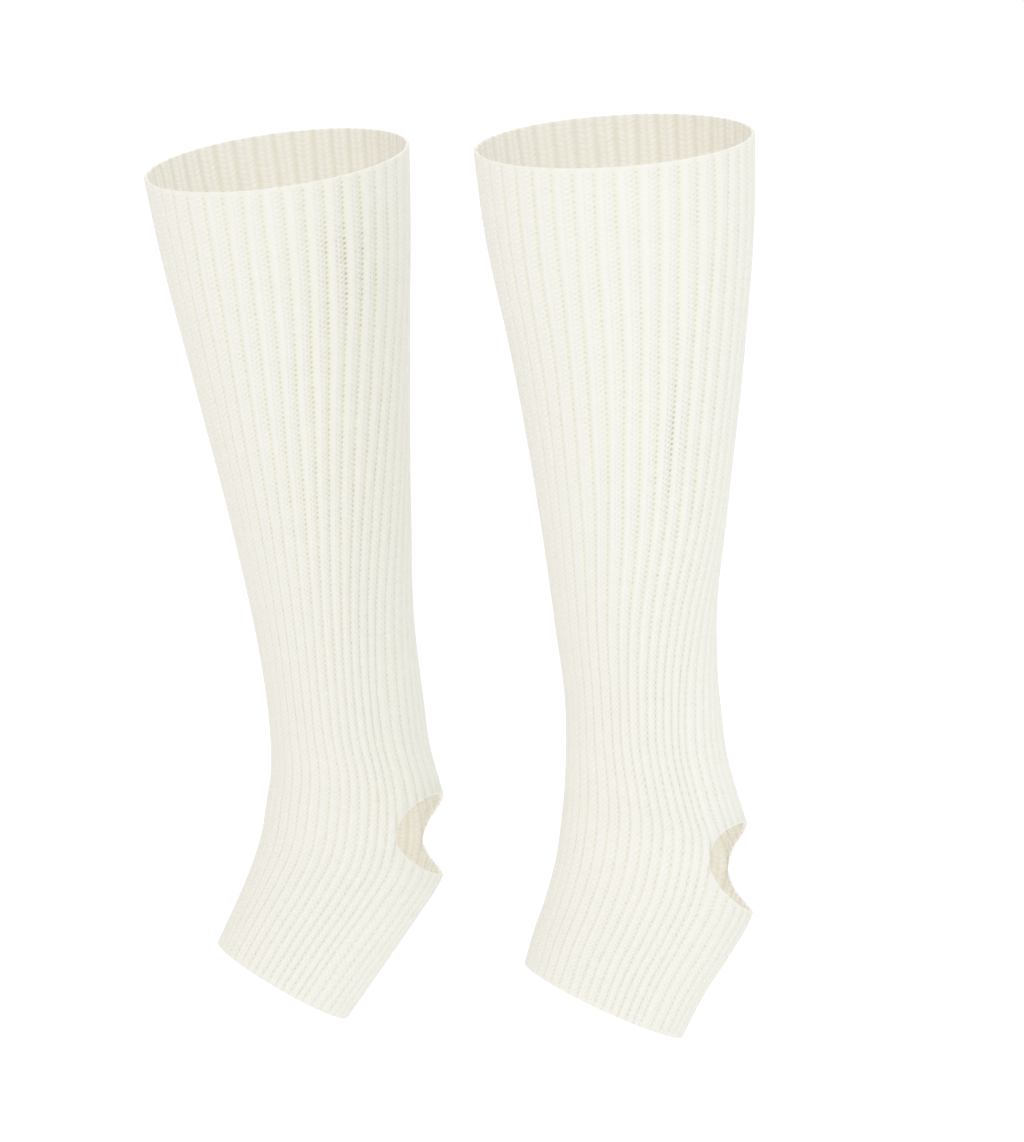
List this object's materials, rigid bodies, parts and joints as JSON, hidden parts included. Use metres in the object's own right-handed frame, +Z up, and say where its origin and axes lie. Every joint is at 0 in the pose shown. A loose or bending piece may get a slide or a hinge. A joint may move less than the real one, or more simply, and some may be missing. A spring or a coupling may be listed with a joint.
{
  "type": "pair of stirrup leg warmers",
  "caption": "Ribbed knit stirrup leg warmers held as if worn: each a hollow tube open at calf and toes, with a slit across the back that the heel comes through.",
  "frame": {"origin": "midway between the two legs, level with the top edges, where the wearer's legs hold the pair up", "axes": "+Z up along the legs, +X towards the heels, +Y from the near leg towards the far leg"},
  "size_m": [0.2742, 0.223, 0.4236],
  "materials": {
    "ivory_rib_knit": "matt"
  },
  "bodies": {
    "root": {"far_leg_warmer": "ivory_rib_knit", "near_leg_warmer": "ivory_rib_knit"}
  },
  "joints": []
}
